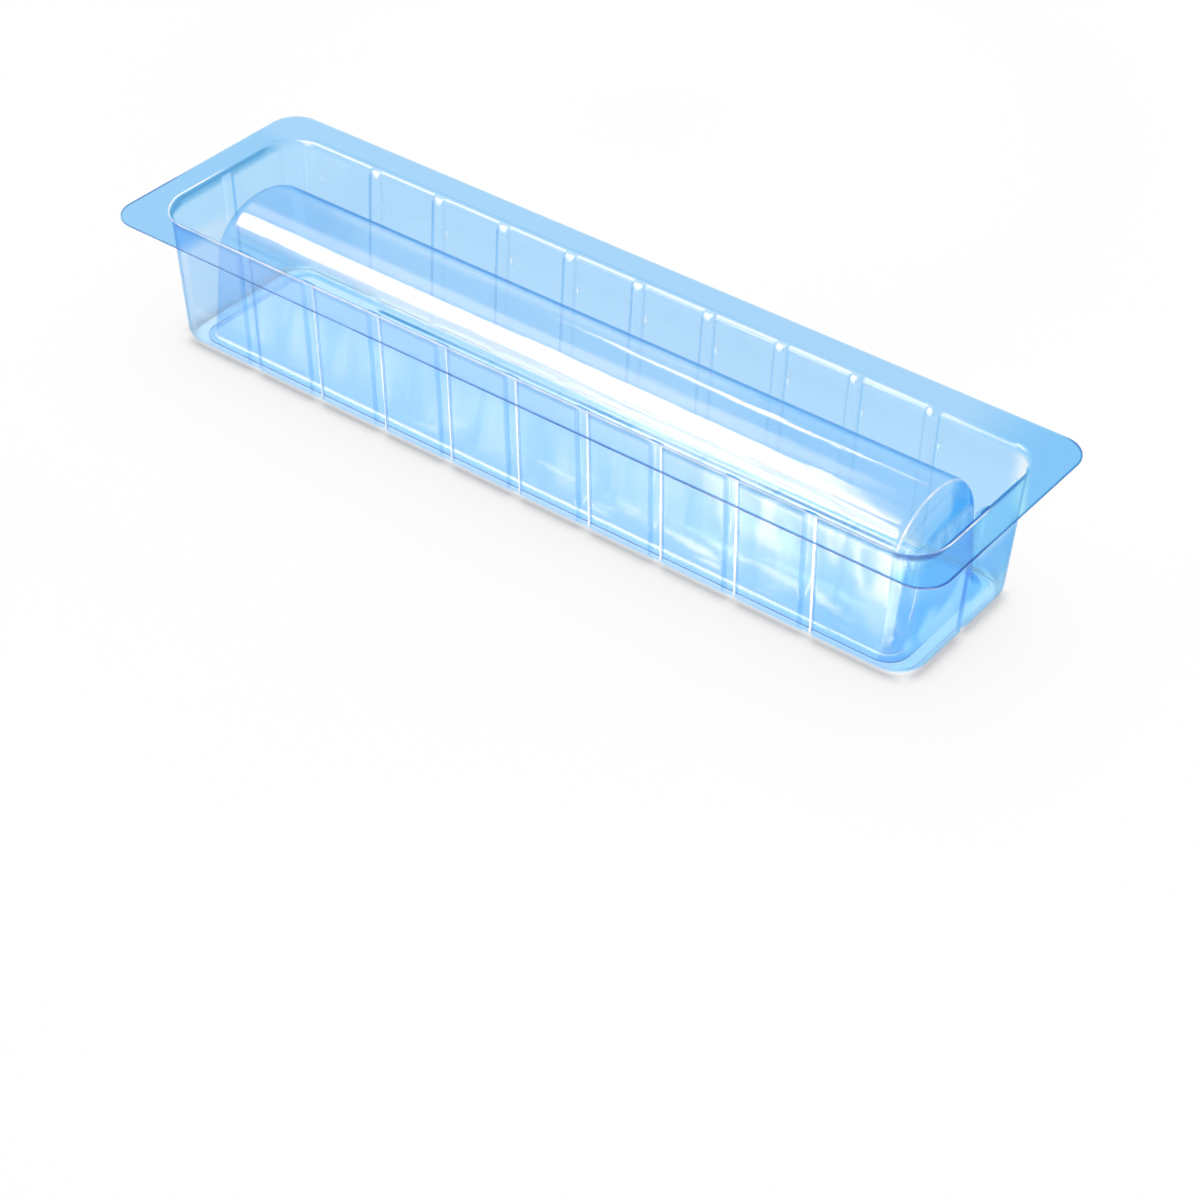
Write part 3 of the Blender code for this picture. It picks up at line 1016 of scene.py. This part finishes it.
def add_band_light(name, centre, size, radiance, soft):
    """A long lamp whose mirror image runs along the log mould's crown, with soft long edges."""
    lamp = gloss_lamp(name, centre, size, radiance, (0.0, 0.0))
    nodes, links = lamp.nodes, lamp.links
    lit = add_product(nodes, links, (
        add_step(nodes, links, lamp.along, 1.0, 0.93),
        add_between(nodes, links, lamp.across, soft, 1.0 - soft, soft),
    ))
    links.new(lit, nodes["Emission"].inputs["Strength"])


def add_patchy_light(name, centre, size, turn, haze, full_at):
    """A lamp broken up into patches over a haze that reaches its full strength at full_at along it."""
    lamp = gloss_lamp(name, centre, size, PATCHY_RADIANCE, turn)
    nodes, links, along = lamp.nodes, lamp.links, lamp.along
    cloud = add_noise(nodes, links, lamp.place, (9.0, 5.0, 1.0), 1.0, 2.0)
    patch = add_step(nodes, links, cloud, 0.46, 0.56)
    lit = add_product(nodes, links, (
        add_most(nodes, links, (
            add_math(nodes, links, "MULTIPLY", patch, add_step(nodes, links, along, 0.25, 0.60)),
            add_step(nodes, links, along, full_at - 0.30, full_at, 0.2 * haze, haze),
        )),
        add_step(nodes, links, along, 1.0, 0.92),
    ))
    links.new(lit, nodes["Emission"].inputs["Strength"])


def add_far_streak(shown_on):
    """A narrow slanting lamp, whose mirror image is the thin streak behind the crown of one piece."""
    lamp = gloss_lamp(
        "far_streak",
        centre=(-0.85, 1.50, GLOSS_LAMP_HEIGHT),
        size=(0.70, 0.30),
        radiance=14.0,
        turn=(0.0, math.radians(-30.4)),
    )
    nodes, links = lamp.nodes, lamp.links
    broken = add_noise(nodes, links, lamp.place, (7.0, 2.5, 1.0), 1.0, 2.0)
    lit = add_product(nodes, links, (
        add_between(nodes, links, lamp.along, 0.08, 0.92, 0.08),
        add_between(nodes, links, lamp.across, 0.30, 0.70, 0.20),
        add_step(nodes, links, broken, 0.36, 0.52, 0.4, 1.0),
    ))
    links.new(lit, nodes["Emission"].inputs["Strength"])
    receivers = bpy.data.collections.new("far_streak_shown_on")
    receivers.objects.link(shown_on)
    lamp.holder.light_linking.receiver_collection = receivers


def light_world():
    """A plain pale room that is white where the camera sees it."""
    world = bpy.data.worlds.new("room")
    bpy.context.scene.world = world
    world.use_nodes = True
    nodes = world.node_tree.nodes
    links = world.node_tree.links
    background = nodes["Background"]
    background.inputs["Color"].default_value = (1.0, 1.0, 1.0, 1.0)
    strength = nodes.new("ShaderNodeMapRange")
    strength.inputs["To Min"].default_value = WORLD_LIGHT
    strength.inputs["To Max"].default_value = 1.0
    links.new(add_seen(nodes, links), strength.inputs["Value"])
    links.new(strength.outputs["Result"], background.inputs["Strength"])


def add_camera():
    """The photograph's viewpoint."""
    camera = bpy.data.cameras.new("camera")
    camera.lens = CAMERA_LENS
    camera.sensor_width = 36.0
    camera.sensor_fit = "HORIZONTAL"
    holder = bpy.data.objects.new("camera", camera)
    bpy.context.scene.collection.objects.link(holder)
    across = math.cos(CAMERA_ELEVATION)
    away = Vector((math.sin(CAMERA_AZIMUTH) * across, -math.cos(CAMERA_AZIMUTH) * across, 0.0))
    away.z = math.sin(CAMERA_ELEVATION)
    right = Vector((math.cos(CAMERA_AZIMUTH), math.sin(CAMERA_AZIMUTH), 0.0))
    up = away.cross(right)
    turned_right = math.cos(CAMERA_ROLL) * right + math.sin(CAMERA_ROLL) * up
    turned_up = math.cos(CAMERA_ROLL) * up - math.sin(CAMERA_ROLL) * right
    turn = Matrix((turned_right, turned_up, away)).transposed().to_4x4()
    holder.matrix_world = Matrix.Translation(CAMERA_AIM + CAMERA_DISTANCE * away) @ turn
    bpy.context.scene.camera = holder


scene = bpy.context.scene
scene.view_settings.view_transform = "Standard"
# Light passes both surfaces of up to a dozen sheets on its way through the mould
scene.cycles.max_bounces = 10
scene.cycles.transparent_max_bounces = 40
scene.cycles.glossy_bounces = 6

tray_face = clear_plastic(
    "tray_clear_blue", tray_tint, tray_painted_highlights, ripple_left=0.12, ripple_right=0.25, foot_shade=True)
log_face = clear_plastic(
    "log_clear_blue", log_tint, log_painted_highlights, ripple_left=0.20, ripple_right=0.45, foot_shade=False)
cut_edge = edge_plastic()
build_tray(tray_face, cut_edge)
log_shell = build_log_mould(log_face, cut_edge)
build_table(white_table())
light_world()
add_softbox(
    "key_light", KEY_PLACE, (KEY_SIZE, KEY_SIZE), KEY_RADIANCE, on_surfaces=True, in_gloss=False)
add_band_light(
    "crown_light",
    centre=(-0.785, -0.355, GLOSS_LAMP_HEIGHT),
    size=(1.03, 0.67),
    radiance=8.0,
    soft=0.02,
)
add_band_light(
    "crown_haze",
    centre=(-0.785, 0.24, GLOSS_LAMP_HEIGHT),
    size=(1.03, 0.56),
    radiance=2.2,
    soft=0.30,
)
add_patchy_light(
    "shoulder_light",
    centre=(-0.84, -1.15, GLOSS_LAMP_HEIGHT),
    size=(1.00, 0.92),
    turn=(0.0, 0.0),
    haze=0.42,
    full_at=0.30,
)
add_patchy_light(
    "front_light",
    centre=(-0.90, -1.60, 0.73),
    size=(1.20, 0.92),
    turn=(math.radians(90.0), 0.0),
    haze=0.30,
    full_at=0.72,
)
add_far_streak(log_shell)
add_camera()
